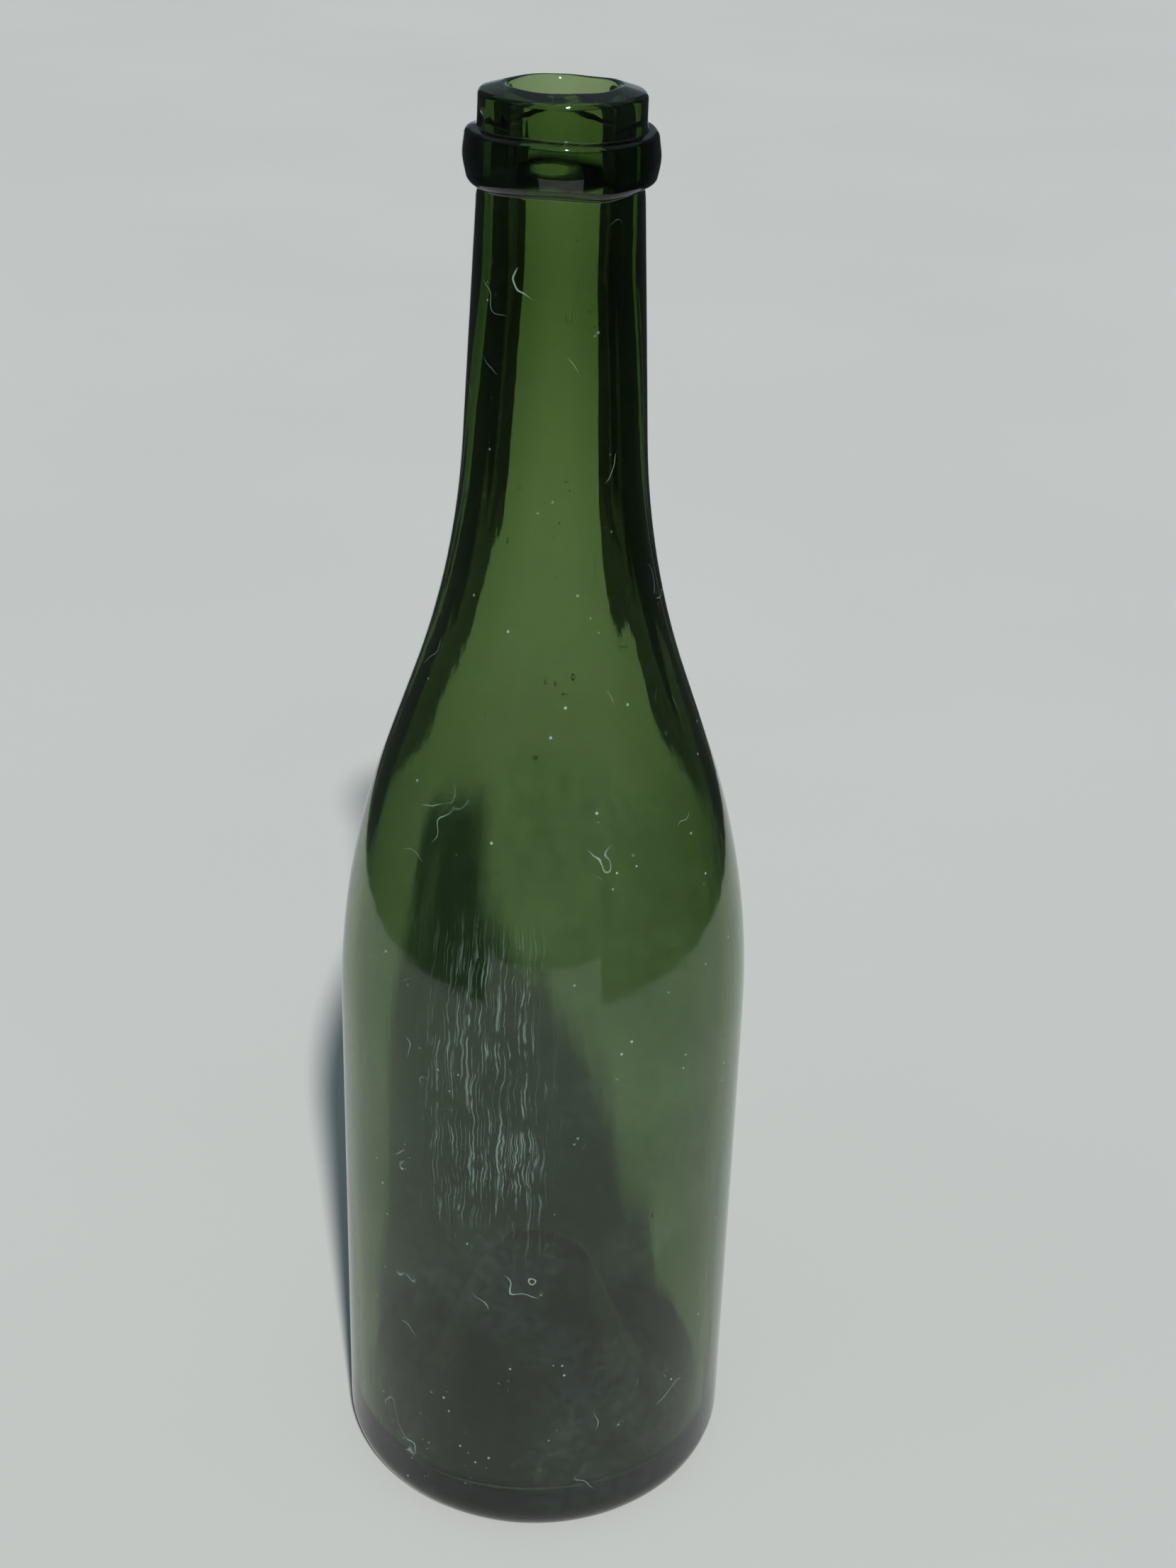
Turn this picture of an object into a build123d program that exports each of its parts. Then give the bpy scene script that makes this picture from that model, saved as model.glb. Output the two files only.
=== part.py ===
"""Empty wine bottle of the sloping-shouldered kind, blown in one piece of thick glass.

A hand-finished 75 cl bottle: a straight body on a rounded heel, long shoulders that run
into a tapering neck, an applied ring below a short collar, and a deep punt pushed up
into the base. The origin is the middle of the resting ring, +Z runs up the axis, and
sizes are in millimetres.
"""
import os
from math import cos, radians, tan

from build123d import *

# Overall
height = 300.0
body_radius = 42.4

# Outside, from the base up
heel_round = 8.4
land_width = 2.0
shoulder_corner_z = 144.0
shoulder_round = 172.0
neck_base_radius = 18.55
neck_base_z = 211.8
neck_round = 167.0
neck_top_radius = 15.1

# Applied ring and the collar above it
ring_bottom_z = 283.0
ring_top_z = 292.5
ring_edge_radius = 17.0
ring_radius = 17.9
collar_radius = 15.25
collar_lean = 0.2
lip_angle = 16.0

# Rounding of the finish, where the hot glass has slumped
ring_lower_round = 1.4
ring_upper_round = 0.8
crease_round = 0.4
collar_round = 1.2
lip_round = 0.7

# Inside
bore_radius = 9.5
bore_depth = 34.0
bore_round = 60.0
body_wall = 3.4
shoulder_wall = 3.6
neck_wall = 4.6
trough_z = 10.0
trough_inner_radius = 28.0
trough_round = 5.5

# Punt, the hollow pushed up into the base
punt_depth = 41.0
punt_tip_radius = 7.0
punt_waist_radius = 19.5
punt_waist_z = 14.0
punt_tip_round = 9.0
punt_waist_round = 22.0
punt_glass = 6.5

land_outer_radius = body_radius - heel_round
land_inner_radius = land_outer_radius - land_width
ring_middle_z = (ring_bottom_z + ring_top_z) / 2
inner_body_radius = body_radius - body_wall
neck_inner_radius = neck_base_radius - neck_wall
# Where the lip's slope would meet the bore if its rounded crest, at full height, were sharp
lip_fall = tan(radians(lip_angle))
lip_corner_z = height + lip_round * (lip_fall + 1 / cos(radians(lip_angle)) - 1)
collar_top_radius = collar_radius - collar_lean
collar_top_z = lip_corner_z - lip_fall * (collar_top_radius - bore_radius)

with BuildPart() as bottle:
    with BuildSketch(Plane.XZ) as half_section:
        with BuildLine():
            # Punt, land, heel, body, shoulder and neck
            outside = FilletPolyline(
                (0, punt_depth),
                (punt_tip_radius, punt_depth),
                (punt_waist_radius, punt_waist_z),
                (land_inner_radius, 0),
                (body_radius, 0),
                (body_radius, shoulder_corner_z),
                (neck_base_radius, neck_base_z),
                (neck_top_radius, ring_bottom_z),
                radius=[
                    punt_tip_round,
                    punt_waist_round,
                    land_width,
                    heel_round,
                    shoulder_round,
                    neck_round,
                ],
            )
            # The ring bulges between its two edges
            ring_under = Line(outside @ 1, (ring_edge_radius, ring_bottom_z))
            ring_side = ThreePointArc(
                ring_under @ 1,
                (ring_radius, ring_middle_z),
                (ring_edge_radius + collar_lean, ring_top_z),
            )
            ring_shelf = Line(ring_side @ 1, (collar_radius, ring_top_z))
            # The collar leans in, and the lip slopes up from it to the mouth
            collar_side = Line(ring_shelf @ 1, (collar_top_radius, collar_top_z))
            lip_slope = Line(collar_side @ 1, (bore_radius, lip_corner_z))
            # Cork bore, inner neck, shoulder and body, then round the trough over the punt
            inside = FilletPolyline(
                lip_slope @ 1,
                (bore_radius, height - bore_depth),
                (neck_inner_radius, neck_base_z),
                (inner_body_radius, shoulder_corner_z - shoulder_wall / 2),
                (inner_body_radius, trough_z),
                (trough_inner_radius, trough_z),
                (punt_tip_radius + punt_glass / 2, punt_depth + punt_glass),
                (0, punt_depth + punt_glass),
                radius=[
                    bore_round,
                    neck_round,
                    shoulder_round - shoulder_wall,
                    trough_round,
                    trough_round,
                    punt_tip_round + punt_glass / 2,
                ],
            )
            Line(inside @ 1, outside @ 0)
        make_face()
        for corner, rounding in (
            (outside @ 1, crease_round),
            (ring_under @ 1, ring_lower_round),
            (ring_side @ 1, ring_upper_round),
            (ring_shelf @ 1, crease_round),
            (collar_side @ 1, collar_round),
            (lip_slope @ 1, lip_round),
        ):
            fillet(half_section.vertices().sort_by_distance(corner)[0], rounding)
    revolve(axis=Axis.Z)

os.makedirs("parts", exist_ok=True)
bottle.part.label = "bottle"
export_step(bottle.part, "parts/bottle.step")
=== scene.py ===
"""Finish and stage for an empty wine bottle blown in thick, dark green glass.

The glass is lathed as one closed shell, outside and inside, with the small faults of a
hand-finished bottle: a slightly oval body, cords in the inner wall, an uneven applied
ring with a tear above it, and seeds, the tiny bubbles shut in the wall.
"""

import math

import bpy
import numpy as np
from bpy.props import FloatProperty, FloatVectorProperty, IntProperty, PointerProperty
from mathutils import Matrix, Vector, noise


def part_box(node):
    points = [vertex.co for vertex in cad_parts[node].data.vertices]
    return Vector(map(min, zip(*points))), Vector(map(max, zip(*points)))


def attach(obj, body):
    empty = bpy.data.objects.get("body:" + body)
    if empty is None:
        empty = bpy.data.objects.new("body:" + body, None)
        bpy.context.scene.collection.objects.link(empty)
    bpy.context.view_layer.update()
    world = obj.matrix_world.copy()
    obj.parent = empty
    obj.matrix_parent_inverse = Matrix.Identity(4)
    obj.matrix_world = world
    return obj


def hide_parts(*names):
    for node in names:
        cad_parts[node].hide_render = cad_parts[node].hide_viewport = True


bl_info = {
    "name": "Old green wine bottle",
    "version": (1, 0, 0),
    "blender": (4, 5, 0),
    "location": "3D View > Sidebar > Bottle",
    "description": "Lathes and finishes a thick green glass wine bottle on a pale floor",
    "category": "Add Mesh",
}

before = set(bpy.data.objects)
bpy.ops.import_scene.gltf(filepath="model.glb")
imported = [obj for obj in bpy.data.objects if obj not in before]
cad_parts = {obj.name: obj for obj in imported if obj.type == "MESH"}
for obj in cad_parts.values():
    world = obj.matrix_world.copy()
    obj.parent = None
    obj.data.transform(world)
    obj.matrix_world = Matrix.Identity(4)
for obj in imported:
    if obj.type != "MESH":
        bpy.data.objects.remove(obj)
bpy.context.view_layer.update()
MM = 0.001
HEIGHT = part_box("bottle")[1][2]
BODY_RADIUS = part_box("bottle")[1][0]

# Levels that both half sections, or the faults in them, share
TROUGH = 10.0 * MM
PUNT_TOP = 41.0 * MM
NECK_BASE = 211.8 * MM
RING_FOOT = 283.0 * MM
RING_TOP = 292.5 * MM
LIP_DEPTH = 3.0 * MM


# ---------------------------------------------------------------- settings


class BottleSizes(bpy.types.PropertyGroup):
    """Sizes of the glass, in metres"""

    height: FloatProperty(name="Height", description="Base to lip", default=HEIGHT, unit="LENGTH")
    body_radius: FloatProperty(
        name="Body radius", description="Outside of the body", default=BODY_RADIUS, unit="LENGTH"
    )
    heel_round: FloatProperty(
        name="Heel", description="Rounding of the heel", default=8.4 * MM, unit="LENGTH"
    )
    bore_radius: FloatProperty(
        name="Bore", description="Radius of the mouth", default=9.5 * MM, unit="LENGTH"
    )
    body_wall: FloatProperty(
        name="Wall", description="Glass thickness of the body", default=3.4 * MM, unit="LENGTH"
    )
    cord_depth: FloatProperty(
        name="Cords", description="Depth of the waves in the inner wall", default=0.30 * MM,
        unit="LENGTH",
    )
    sway: FloatProperty(
        name="Sway", description="How far the outside is out of true", default=0.16 * MM,
        unit="LENGTH",
    )
    turns: IntProperty(name="Turns", description="Facets round the bottle", default=160, min=24)
    seeds: IntProperty(name="Seeds", description="Bubbles shut in the wall", default=46, min=0)


class GlassFinish(bpy.types.PropertyGroup):
    """Colour and surface of the glass"""

    clear_share: FloatVectorProperty(
        name="Glass tint", description="Colour that the glass lets through", subtype="COLOR",
        default=(0.36, 0.52, 0.12), min=0.0, max=1.0,
    )
    density: FloatProperty(
        name="Tint depth", description="Absorption for each metre of glass", default=305.0, min=0.0
    )
    film: FloatVectorProperty(
        name="Film", description="Colour of the dried film and scuffs", subtype="COLOR",
        default=(0.44, 0.60, 0.53), min=0.0, max=1.0,
    )
    # Colour of a painted shade that darkens the glass of the body towards the bottom
    body_shade: FloatVectorProperty(
        name="Stain", description="Colour of the stained body", subtype="COLOR",
        default=(0.60, 0.66, 0.61), min=0.0, max=1.0,
    )
    rust: FloatVectorProperty(
        name="Rust", description="Colour of the few brown stains", subtype="COLOR",
        default=(0.30, 0.13, 0.05), min=0.0, max=1.0,
    )
    roughness: FloatProperty(
        name="Roughness", description="Of the clean glass", default=0.035, min=0.0, max=1.0
    )
    index: FloatProperty(name="Index", description="Refractive index", default=1.52, min=1.0)


class StageSettings(bpy.types.PropertyGroup):
    """Floor, light and camera"""

    floor: FloatVectorProperty(
        name="Floor", description="Colour of the floor", subtype="COLOR",
        default=(0.66, 0.68, 0.67), min=0.0, max=1.0,
    )
    key_height: FloatProperty(
        name="Key height", description="Angle of the key light over the floor",
        default=math.radians(43.0), subtype="ANGLE",
    )
    key_side: FloatProperty(
        name="Key side", description="Angle of the key light to the camera's right",
        default=math.radians(9.2), subtype="ANGLE",
    )
    key_size: FloatProperty(
        name="Key size", description="Angle that the key light fills", default=math.radians(3.0),
        subtype="ANGLE",
    )
    key_power: FloatProperty(name="Key power", description="Of the key light", default=3.3)
    fill: FloatVectorProperty(
        name="Fill", description="Light from all round", subtype="COLOR",
        default=(0.12, 0.155, 0.17), min=0.0, max=2.0,
    )
    lens: FloatProperty(name="Lens", description="Focal length in millimetres", default=50.55)
    distance: FloatProperty(
        name="Distance", description="Camera in front of the bottle", default=0.39604, unit="LENGTH"
    )
    rise: FloatProperty(
        name="Rise", description="Camera over the floor", default=0.36413, unit="LENGTH"
    )
    look_down: FloatProperty(
        name="Look down", description="Tilt of the camera", default=math.radians(26.85),
        subtype="ANGLE",
    )
    turn: FloatProperty(
        name="Turn", description="Turn of the camera", default=math.radians(1.18), subtype="ANGLE"
    )
    roll: FloatProperty(
        name="Roll", description="Roll of the camera", default=math.radians(1.83), subtype="ANGLE"
    )


# ---------------------------------------------------------------- shader maths


class Wire:
    """A socket of a material's tree; arithmetic on it adds Math nodes"""

    def __init__(self, tree, socket):
        self.tree = tree
        self.socket = socket

    def math(self, operation, *values, clamp=False):
        settings = {"operation": operation, "use_clamp": clamp}
        return Bench(self.tree).make("ShaderNodeMath", settings, [self, *values])

    def __add__(self, other):
        return self.math("ADD", other)

    __radd__ = __add__

    def __sub__(self, other):
        return self.math("SUBTRACT", other)

    def __rsub__(self, other):
        return Bench(self.tree).make("ShaderNodeMath", {"operation": "SUBTRACT"}, [other, self])

    def __mul__(self, other):
        return self.math("MULTIPLY", other)

    __rmul__ = __mul__

    def __abs__(self):
        return self.math("ABSOLUTE")

    def limited(self):
        """Kept between 0 and 1"""
        return self.math("ADD", 0.0, clamp=True)

    def step(self, low, high):
        """0 at low and 1 at high, with an easy run between; low may be the larger"""
        span = [low, high, 0.0, 1.0] if low < high else [high, low, 1.0, 0.0]
        settings = {"interpolation_type": "SMOOTHSTEP"}
        return Bench(self.tree).make("ShaderNodeMapRange", settings, [self, *span])


class Bench:
    """Adds nodes to one tree"""

    def __init__(self, tree):
        self.tree = tree

    def make(self, kind, settings=None, values=(), out=0):
        """Adds a node with its settings, then its sockets by place or by name"""
        node = self.tree.nodes.new(kind)
        for name, value in (settings or {}).items():
            setattr(node, name, value)
        pairs = values.items() if isinstance(values, dict) else enumerate(values)
        for key, value in pairs:
            if isinstance(value, Wire):
                self.tree.links.new(value.socket, node.inputs[key])
            else:
                node.inputs[key].default_value = value
        return Wire(self.tree, node.outputs[out]) if node.outputs else None

    def split(self, vector):
        """The three values of a vector"""
        node = self.make("ShaderNodeSeparateXYZ", None, [vector]).socket.node
        return [Wire(self.tree, socket) for socket in node.outputs]

    def place(self, x, y, z):
        """A vector from three values"""
        return self.make("ShaderNodeCombineXYZ", None, [x, y, z])

    def cloud(self, where, scale, detail=3.0, roughness=0.5):
        """Noise from 0 to 1"""
        return self.make(
            "ShaderNodeTexNoise", None,
            {"Vector": where, "Scale": scale, "Detail": detail, "Roughness": roughness},
        )

    def blend(self, share, first, second):
        """A colour between two colours"""
        first_socket, second_socket, colour_out = 6, 7, 2
        return self.make(
            "ShaderNodeMix", {"data_type": "RGBA"},
            {"Factor": share, first_socket: (*first, 1.0), second_socket: (*second, 1.0)},
            colour_out,
        )


def new_material(name):
    """An empty material, and a bench to build it on"""
    material = bpy.data.materials.new(name)
    material.use_nodes = True
    material.node_tree.nodes.clear()
    return material, Bench(material.node_tree)


# ---------------------------------------------------------------- glass shell


def rounded(corners):
    """A line through (r, z, rounding) corners, with an arc at each that has a rounding"""
    points = [Vector(corners[0][:2])]
    for before, (r, z, rounding), after in zip(corners, corners[1:], corners[2:]):
        here = Vector((r, z))
        back = (Vector(before[:2]) - here).normalized()
        on = (Vector(after[:2]) - here).normalized()
        if rounding == 0.0:
            points.append(here)
            continue
        half = back.angle(on) / 2
        centre = here + (back + on).normalized() * rounding / math.sin(half)
        start = here + back * rounding / math.tan(half) - centre
        finish = here + on * rounding / math.tan(half) - centre
        turn = start.angle_signed(finish)
        steps = max(3, int(abs(turn) / math.radians(6)), int(abs(turn) * rounding / (3 * MM)))
        for i in range(steps + 1):
            angle = -turn * i / steps
            spin = Matrix.Rotation(angle, 2)
            points.append(centre + spin @ start)
    points.append(Vector(corners[-1][:2]))
    return points


def spaced(points, step):
    """The same line with no gap longer than step"""
    line = [points[0]]
    for a, b in zip(points, points[1:]):
        gap = (b - a).length
        if gap < 1e-7:
            continue
        pieces = max(1, math.ceil(gap / step))
        line += [a.lerp(b, i / pieces) for i in range(1, pieces + 1)]
    return line


def outside_line(sizes):
    """Half section from the punt's top, round the heel, up to the lip's crest"""
    land = sizes.body_radius - sizes.heel_round
    top = sizes.height
    return rounded([
        (0.0, PUNT_TOP, 0.0),
        (7.0 * MM, PUNT_TOP, 9.0 * MM),
        (19.5 * MM, 14.0 * MM, 22.0 * MM),
        (land - 2.0 * MM, 0.0, 2.0 * MM),
        (sizes.body_radius, 0.0, sizes.heel_round),
        (sizes.body_radius, 144.0 * MM, 172.0 * MM),
        (18.55 * MM, NECK_BASE, 167.0 * MM),
        (15.1 * MM, RING_FOOT, 0.6 * MM),
        (17.0 * MM, RING_FOOT, 2.0 * MM),
        (17.9 * MM, 287.6 * MM, 9.0 * MM),
        (17.3 * MM, 292.3 * MM, 1.3 * MM),
        (15.25 * MM, 292.7 * MM, 0.35 * MM),
        (15.05 * MM, 298.75 * MM, 1.2 * MM),
        (sizes.bore_radius, top + 0.28 * MM, 1.1 * MM),
        (sizes.bore_radius, top - LIP_DEPTH, 0.0),
    ])


def inside_line(sizes):
    """Half section from under the lip, down the neck, to the top of the punt"""
    wall = sizes.body_radius - sizes.body_wall
    punt_top = PUNT_TOP + 6.5 * MM
    return rounded([
        (sizes.bore_radius, sizes.height - LIP_DEPTH, 0.0),
        (sizes.bore_radius, 266.0 * MM, 60.0 * MM),
        (13.95 * MM, NECK_BASE, 167.0 * MM),
        (wall, 142.2 * MM, 168.4 * MM),
        (wall, TROUGH, 5.5 * MM),
        (28.0 * MM, TROUGH, 5.5 * MM),
        (10.25 * MM, punt_top, 12.25 * MM),
        (0.0, punt_top, 0.0),
    ])


def bump(value, middle, width):
    """A soft hump: 1 at the middle, near 0 two widths away"""
    return math.exp(-(((value - middle) / width) ** 2))


def uneven_outside(r, z, angle, sizes):
    """Where a point of the outside really lies; it never leaves the true outline's box"""
    around = Vector((math.cos(angle), math.sin(angle), z / sizes.height * 2.2))
    slow = noise.noise(around * 0.9 + Vector((3.1, 0.0, 0.0)))
    fine = noise.noise(Vector((around.x * 5, around.y * 5, z / MM * 0.02)))
    shrink = sizes.sway * (0.55 + 0.6 * slow + 0.35 * fine)
    full = min(1.0, r / (25 * MM))
    r -= max(0.0, shrink) * full
    finish = bump(z, 288 * MM, 9 * MM)
    lumps = noise.noise(Vector((math.cos(angle) * 1.6, math.sin(angle) * 1.6, z / MM * 0.12)))
    if z > 281 * MM:
        r -= (0.16 + 0.3 * lumps) * finish * MM * (r > 12 * MM)
        droop = noise.noise(Vector((math.cos(angle) * 1.3, math.sin(angle) * 1.3, 7.0)))
        z += droop * 1.1 * MM * bump(z, RING_FOOT, 3.0 * MM)
        z += noise.noise(Vector((math.cos(angle) * 1.1, math.sin(angle) * 1.1, 2.0))) * (
            0.7 * MM * bump(z, RING_TOP, 2.2 * MM)
        )
        # The tear where the ring was laid on, low on the collar at the left
        off = (angle - math.radians(196) + math.pi) % (2 * math.pi) - math.pi
        r -= 1.1 * MM * bump(off, 0.0, math.radians(7)) * bump(z, 293.9 * MM, 1.2 * MM)
        z -= 0.22 * MM * (0.5 + lumps) * bump(z, sizes.height, 2 * MM)
    return r, z


def uneven_inside(r, z, angle, sizes):
    """Where a point of the inside really lies, with upright cords in the wall"""
    depth = sizes.cord_depth * min(1.0, r / (9 * MM))
    x, y = math.cos(angle), math.sin(angle)
    cords = noise.noise(Vector((x * 2.6, y * 2.6, z / MM * 0.008)))
    swell = noise.noise(Vector((x * 0.8 + 5.0, y * 0.8, z / MM * 0.015)))
    ripple = noise.noise(Vector((x * 7.0, y * 7.0, z / MM * 0.02 + 4.0)))
    r -= depth * (0.9 * cords + 1.3 * swell + 0.22 * ripple)
    low = bump(z, TROUGH, 6 * MM)
    z += 1.1 * MM * low * noise.noise(Vector((x * 0.9, y * 0.9, 11.0)))
    return r, z


def lathe(line, turns, shift, vertices, faces):
    """Adds one turned surface to the lists and returns its first and last ring"""
    rings = []
    for r, z in line:
        if r < 1e-6:
            rings.append([len(vertices)])
            vertices.append((0.0, 0.0, shift(0.0, z, 0.0)[1]))
            continue
        ring = []
        for i in range(turns):
            angle = 2 * math.pi * i / turns
            real_r, real_z = shift(r, z, angle)
            ring.append(len(vertices))
            vertices.append((real_r * math.cos(angle), real_r * math.sin(angle), real_z))
        rings.append(ring)
    for a, b in zip(rings, rings[1:]):
        join(a, b, faces)
    return rings[0], rings[-1]


def join(a, b, faces, forward=False):
    """Faces between two rings, either of which may be a single point"""
    count = max(len(a), len(b))
    for i in range(count):
        j = (i + 1) % count
        if len(a) == 1:
            face = (a[0], b[i], b[j])
        elif len(b) == 1:
            face = (a[i], b[0], a[j])
        else:
            face = (a[i], b[i], b[j], a[j])
        faces.append(face if forward else face[::-1])


def add_seed(centre, size, vertices, faces):
    """One bubble: a closed hollow drawn out upright, its faces turned to the air in it"""
    rings = []
    rounds, around = 6, 8
    for k in range(rounds + 1):
        tilt = math.pi * k / rounds
        if k in (0, rounds):
            rings.append([len(vertices)])
            vertices.append((centre.x, centre.y, centre.z + size.z * math.cos(tilt)))
            continue
        ring = []
        for i in range(around):
            turn = 2 * math.pi * i / around
            ring.append(len(vertices))
            vertices.append((
                centre.x + size.x * math.sin(tilt) * math.cos(turn),
                centre.y + size.y * math.sin(tilt) * math.sin(turn),
                centre.z + size.z * math.cos(tilt),
            ))
        rings.append(ring)
    for a, b in zip(rings, rings[1:]):
        join(a, b, faces, forward=True)


def wall_middle(z, sizes):
    """Radius of the middle of the wall at a height, and half the glass there"""
    out = [p for p in outside_line(sizes) if p.x > 14.9 * MM and p.y > 8 * MM]
    ins = [p for p in inside_line(sizes) if p.y > 49 * MM or p.x > 36 * MM]
    outer = np.interp(z, [p.y for p in out], [p.x for p in out])
    inner = np.interp(-z, [-p.y for p in ins], [p.x for p in ins])
    return (outer + inner) / 2, (outer - inner) / 2


def build_shell(sizes):
    """The closed glass shell with its seeds, as a mesh object"""
    vertices, faces = [], []
    out = spaced(outside_line(sizes), 1.5 * MM)
    ins = spaced(inside_line(sizes), 2.2 * MM)
    _, lip = lathe(
        out, sizes.turns, lambda r, z, a: uneven_outside(r, z, a, sizes), vertices, faces
    )
    outer_count = len(vertices)
    throat, _ = lathe(
        ins[1:], sizes.turns, lambda r, z, a: uneven_inside(r, z, a, sizes), vertices, faces
    )
    join(lip, throat, faces)
    inner_count = len(vertices)
    dice = np.random.default_rng(11)
    for _ in range(sizes.seeds):
        z = dice.uniform(20, 275) * MM
        angle = dice.uniform(0, 2 * math.pi)
        middle, half = wall_middle(z, sizes)
        across = dice.uniform(0.10, 0.34) * MM
        r = middle + dice.uniform(-0.35, 0.35) * half
        size = Vector((across, across, across * dice.uniform(1.0, 3.2)))
        add_seed(Vector((r * math.cos(angle), r * math.sin(angle), z)), size, vertices, faces)
    mesh = bpy.data.meshes.new("bottle_glass")
    mesh.from_pydata(vertices, [], faces)
    mesh.update()
    mesh.shade_smooth()
    inside = mesh.attributes.new("inside", "FLOAT", "POINT")
    values = np.zeros(len(vertices), dtype=np.float32)
    values[outer_count:inner_count] = 1.0
    inside.data.foreach_set("value", values)
    shell = bpy.data.objects.new("bottle_glass", mesh)
    bpy.context.scene.collection.objects.link(shell)
    return shell


# ---------------------------------------------------------------- old green glass


def glass_material(finish, sizes):
    """Thick green glass, tinted by its depth and darkened low in the body by a painted shade, with
    film, scuffs, streaks and specks on it, the film at the sides partly a painted sheen
    """
    material, bench = new_material("old_green_glass")
    where = bench.make("ShaderNodeTexCoord", None, (), "Object")
    x, y, z = bench.split(where)
    inside = bench.make("ShaderNodeAttribute", {"attribute_name": "inside"}, (), "Fac")
    angle = x.math("ARCTAN2", y * -1.0)
    round_mm = angle * (sizes.body_radius / MM)
    up_mm = z * (1 / MM)

    # Dried film, which at the sides as seen from the front is partly a painted sheen
    film = film_and_edge_sheen_mask(bench, where, round_mm, up_mm, inside)
    streaks = streak_mask(bench, round_mm, up_mm, inside)
    marks = mark_mask(bench, where, up_mm, inside)
    rust = rust_mask(bench, where, round_mm, up_mm)
    # Painted shade: the glass of the body darkened towards the bottom
    body_shade = body_shade_mask(bench, where, up_mm)
    cover = (film + streaks + marks + rust * 0.8).limited()

    pull = bench.cloud(bench.place(x * 420.0, y * 420.0, z * 90.0), 1.0, 2.0, 0.5)
    relief = bench.make(
        "ShaderNodeBump", None, {"Strength": 0.10, "Distance": 0.2 * MM, "Height": pull}
    )
    # The glass's base colour carries the painted shade of the body
    glass = bench.make(
        "ShaderNodeBsdfPrincipled", None,
        {
            "Base Color": bench.blend(body_shade, (1.0, 1.0, 1.0), finish.body_shade),
            "Roughness": finish.roughness + body_shade * 0.05,
            "IOR": finish.index, "Transmission Weight": 1.0, "Normal": relief,
        },
    )
    coat = bench.make(
        "ShaderNodeBsdfPrincipled", None,
        {
            "Base Color": bench.blend(rust, finish.film, finish.rust), "Roughness": 0.75,
            "IOR": finish.index, "Normal": relief,
        },
    )
    surface = bench.make("ShaderNodeMixShader", None, [cover, glass, coat])
    depth = bench.make(
        "ShaderNodeVolumeAbsorption", None,
        {"Color": (*finish.clear_share, 1.0), "Density": finish.density},
    )
    bench.make("ShaderNodeOutputMaterial", None, {"Surface": surface, "Volume": depth})
    return material


def film_and_edge_sheen_mask(bench, where, round_mm, up_mm, inside):
    """A thin dried film, cloudy, heavier low on the body and in patches, and heavier still at the
    body's sides as seen from the front, where it is partly a painted sheen
    """
    clouds = bench.cloud(where, 28.0, 4.0, 0.62).step(0.42, 0.72)
    grain = bench.cloud(where, 420.0, 1.0, 0.6).step(0.35, 0.75)
    low = up_mm.step(175.0, 60.0)
    base = 0.0015 + 0.004 * low
    # Painted sheen, partly film: a heavier coat on the body's left and right edges as seen from the
    # front, below the shoulder
    sides = (abs(round_mm) - 45.0).step(0.0, 14.0) * up_mm.step(168.0, 140.0)
    edge_patches = bench.cloud(bench.place(round_mm * 0.20, up_mm * 0.07, 5.0), 1.0, 3.0, 0.7).step(0.42, 0.66)
    milk_and_sheen = base + clouds * (0.006 + 0.022 * low) + sides * edge_patches * 0.10
    return milk_and_sheen * (0.55 + grain * 0.9) * (1.0 - inside * 0.35)


def body_shade_mask(bench, where, up_mm):
    """Painted shade in the body, full low down and fading out by the neck: it takes light off evenly,
    with a slow mottle
    """
    mottle = bench.cloud(where, 34.0, 4.0, 0.66).step(0.38, 0.66)
    return up_mm.step(235.0, 110.0) * (0.72 + 0.28 * mottle)


def streak_mask(bench, round_mm, up_mm, inside):
    """Wavy upright lines of dried lime at the front"""
    wander = bench.cloud(bench.place(round_mm * 0.10, up_mm * 0.16, 0.0), 1.0, 2.0, 0.6)
    lines = bench.cloud(
        bench.place(round_mm * 1.15 + wander * 2.6, up_mm * 0.020, 3.0), 1.0, 1.0, 0.5
    )
    thin = abs(lines - 0.5).step(0.036, 0.004)
    broken = bench.cloud(bench.place(round_mm * 0.45, up_mm * 0.13, 9.0), 1.0, 2.0, 0.75)
    side = abs(round_mm + 11.0).step(17.0, 6.0)
    band = up_mm.step(72.0, 92.0) * up_mm.step(156.0, 136.0)
    return thin * broken.step(0.40, 0.56) * side * band * (1.0 - inside) * 0.27


def mark_mask(bench, where, up_mm, inside):
    """Specks of dust and hair-fine scratches on the outside"""
    spots = bench.make(
        "ShaderNodeTexVoronoi", {"feature": "F1"},
        {"Vector": where, "Scale": 420.0, "Randomness": 1.0}, "Distance",
    )
    rare = bench.cloud(where, 120.0, 2.0, 0.5).step(0.58, 0.66)
    specks = spots.step(0.16, 0.08) * rare
    hair = abs(bench.cloud(where, 75.0, 2.0, 0.4) - 0.5).step(0.0045, 0.001)
    few = bench.cloud(where, 60.0, 1.0, 0.5).step(0.64, 0.70)
    return (specks * 0.5 + hair * few * 0.45) * (1.0 - inside) * up_mm.step(281.0, 277.0)


def rust_mask(bench, where, round_mm, up_mm):
    """A few brown specks low on the body at the left"""
    spots = bench.make(
        "ShaderNodeTexVoronoi", {"feature": "F1"},
        {"Vector": where, "Scale": 700.0, "Randomness": 1.0}, "Distance",
    )
    place = abs(round_mm + 24.0).step(14.0, 4.0) * abs(up_mm - 20.0).step(14.0, 4.0)
    return spots.step(0.20, 0.10) * place * bench.cloud(where, 200.0, 1.0, 0.5).step(0.5, 0.62)


# ---------------------------------------------------------------- operators


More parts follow.
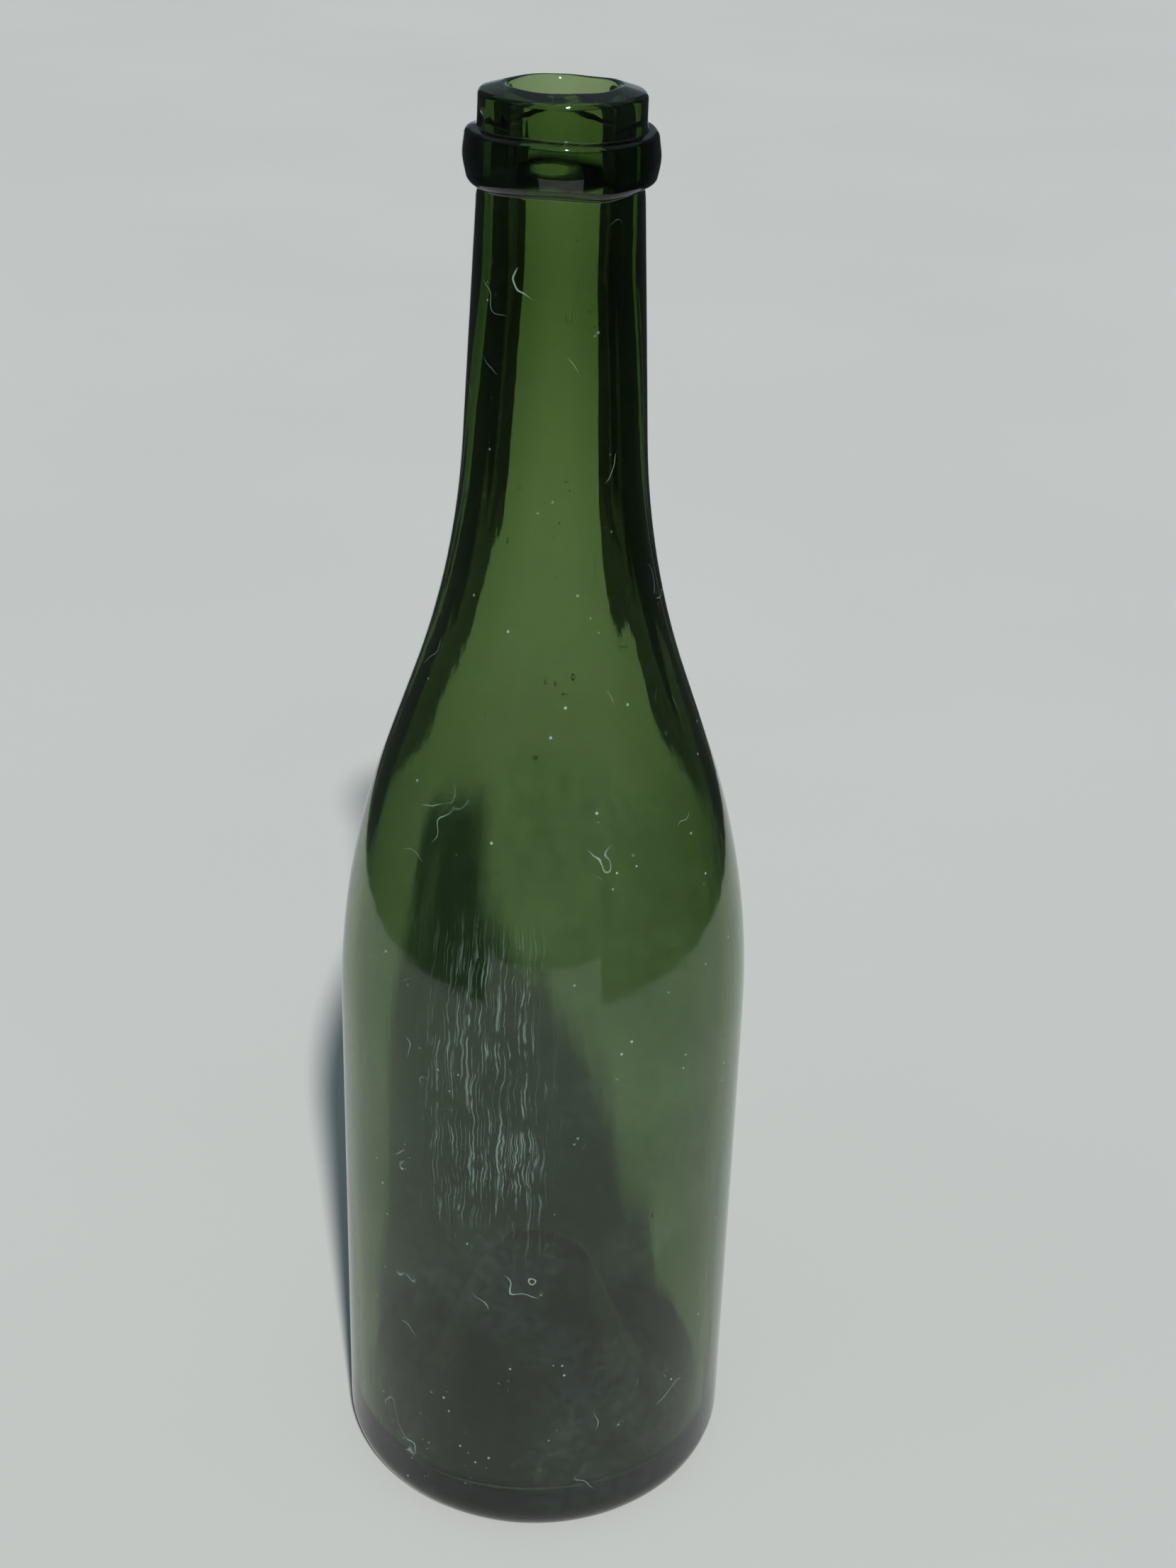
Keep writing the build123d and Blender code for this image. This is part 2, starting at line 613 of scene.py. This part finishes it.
class BOTTLE_OT_glass(bpy.types.Operator):
    """Lathe the glass shell and give it its finish"""

    bl_idname = "bottle.glass"
    bl_label = "Glass"

    def execute(self, context):
        sizes = context.scene.bottle_sizes
        shell = build_shell(sizes)
        shell.data.materials.append(glass_material(context.scene.glass_finish, sizes))
        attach(shell, "root")
        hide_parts("bottle")
        return {"FINISHED"}


def plain_material(name, colour):
    """A matt pale surface with a faint mottle"""
    material, bench = new_material(name)
    where = bench.make("ShaderNodeTexCoord", None, (), "Object")
    mottle = bench.cloud(where, 3.0, 3.0, 0.5).step(0.3, 0.7)
    darker = tuple(0.97 * c for c in colour)
    paint = bench.make(
        "ShaderNodeBsdfPrincipled", None,
        {"Base Color": bench.blend(mottle, darker, colour), "Roughness": 0.85},
    )
    bench.make("ShaderNodeOutputMaterial", None, {"Surface": paint})
    return material


def stage_mesh(name, corners, faces, colour, **seen_by):
    """One piece of the stage, with the kinds of ray that see it"""
    mesh = bpy.data.meshes.new(name)
    mesh.from_pydata(corners, [], faces)
    mesh.update()
    mesh.materials.append(plain_material(name, colour))
    panel = bpy.data.objects.new(name, mesh)
    bpy.context.scene.collection.objects.link(panel)
    for kind, seen in seen_by.items():
        setattr(panel, kind, seen)
    return panel


def card(name, line, tall, colour, **seen_by):
    """A standing card that follows a line over the floor"""
    low = [(*point, 0.001) for point in line]
    high = [(*point, tall) for point in line]
    count = len(line)
    faces = [(i, i + 1, count + i + 1, count + i) for i in range(count - 1)]
    return stage_mesh(name, low + high, faces, colour, **seen_by)


class BOTTLE_OT_stage(bpy.types.Operator):
    """Lay the floor, set the lights and place the camera"""

    bl_idname = "bottle.stage"
    bl_label = "Stage"

    def execute(self, context):
        stage = context.scene.stage_settings
        self.floor(stage)
        self.flags()
        self.key(stage)
        self.world(context.scene, stage)
        self.camera(context.scene, stage)
        context.scene.view_settings.view_transform = "Standard"
        return {"FINISHED"}

    def floor(self, stage):
        reach, sides = 9.0, 64
        ring = [
            (reach * math.cos(a), reach * math.sin(a), 0.0)
            for a in (2 * math.pi * i / sides for i in range(sides))
        ]
        stage_mesh("floor", ring, [tuple(range(len(ring)))], stage.floor)

    def flags(self):
        """Dark cards beside the view, which only the glass sees, as dark bands"""
        dark = (0.02, 0.025, 0.03)
        unseen = dict(visible_camera=False, visible_shadow=False, visible_diffuse=False)
        near, far, tall = 0.45, 2.7, 0.6
        panels = 12
        for name, gap, end in (("flag_left", -19.0, -150.0), ("flag_right", 15.5, 150.0)):
            bends = [math.radians(gap + (end - gap) * i / panels) for i in range(panels + 1)]
            line = [(near * math.sin(a), near * math.cos(a)) for a in bends]
            line.insert(0, (far * math.sin(bends[0]), far * math.cos(bends[0])))
            card(name, line, tall, dark, **unseen)
        card(
            "flag_front", [(-1.2, -0.70), (1.2, -0.70)], tall, dark,
            visible_transmission=False, **unseen,
        )

    def key(self, stage):
        lamp = bpy.data.lights.new("key", "SUN")
        lamp.energy = stage.key_power
        lamp.angle = stage.key_size
        lamp.color = (1.0, 0.985, 0.95)
        key = bpy.data.objects.new("key", lamp)
        bpy.context.scene.collection.objects.link(key)
        flat = math.cos(stage.key_height)
        towards = Vector((
            flat * math.sin(stage.key_side), -flat * math.cos(stage.key_side),
            math.sin(stage.key_height),
        ))
        key.rotation_euler = towards.to_track_quat("Z", "Y").to_euler()
        key.location = towards * 3

    def world(self, scene, stage):
        world = bpy.data.worlds.new("studio")
        scene.world = world
        world.use_nodes = True
        bench = Bench(world.node_tree)
        world.node_tree.nodes.clear()
        way = bench.make("ShaderNodeTexCoord", None, (), "Generated")
        _, _, rise = bench.split(way)
        pale = tuple(min(1.0, 2.6 * c) for c in stage.fill)
        glow = bench.blend(rise.step(0.03, 0.20), pale, stage.fill)
        light = bench.make("ShaderNodeBackground", None, {"Color": glow, "Strength": 1.0})
        bench.make("ShaderNodeOutputWorld", None, {"Surface": light})

    def camera(self, scene, stage):
        lens = bpy.data.cameras.new("camera")
        lens.lens = stage.lens
        lens.clip_start = 0.01
        camera = bpy.data.objects.new("camera", lens)
        scene.collection.objects.link(camera)
        spin = (
            Matrix.Rotation(-stage.turn, 4, "Z")
            @ Matrix.Rotation(math.pi / 2 - stage.look_down, 4, "X")
            @ Matrix.Rotation(stage.roll, 4, "Z")
        )
        camera.matrix_world = Matrix.Translation((0.0, -stage.distance, stage.rise)) @ spin
        scene.camera = camera


class BOTTLE_PT_panel(bpy.types.Panel):
    """Bottle tools in the sidebar"""

    bl_label = "Bottle"
    bl_idname = "BOTTLE_PT_panel"
    bl_space_type = "VIEW_3D"
    bl_region_type = "UI"
    bl_category = "Bottle"

    def draw(self, context):
        for operator in OPERATORS:
            self.layout.operator(operator.bl_idname)
        for group in (context.scene.bottle_sizes, context.scene.glass_finish,
                      context.scene.stage_settings):
            box = self.layout.box()
            for name in group.__annotations__:
                box.prop(group, name)


OPERATORS = (BOTTLE_OT_glass, BOTTLE_OT_stage)
GROUPS = {
    "bottle_sizes": BottleSizes,
    "glass_finish": GlassFinish,
    "stage_settings": StageSettings,
}


def register():
    for name, group in GROUPS.items():
        bpy.utils.register_class(group)
        setattr(bpy.types.Scene, name, PointerProperty(type=group))
    for kind in (*OPERATORS, BOTTLE_PT_panel):
        bpy.utils.register_class(kind)


def unregister():
    for kind in (BOTTLE_PT_panel, *reversed(OPERATORS)):
        bpy.utils.unregister_class(kind)
    for name, group in GROUPS.items():
        delattr(bpy.types.Scene, name)
        bpy.utils.unregister_class(group)


def main():
    register()
    bpy.ops.bottle.glass()
    bpy.ops.bottle.stage()


if __name__ == "__main__":
    main()
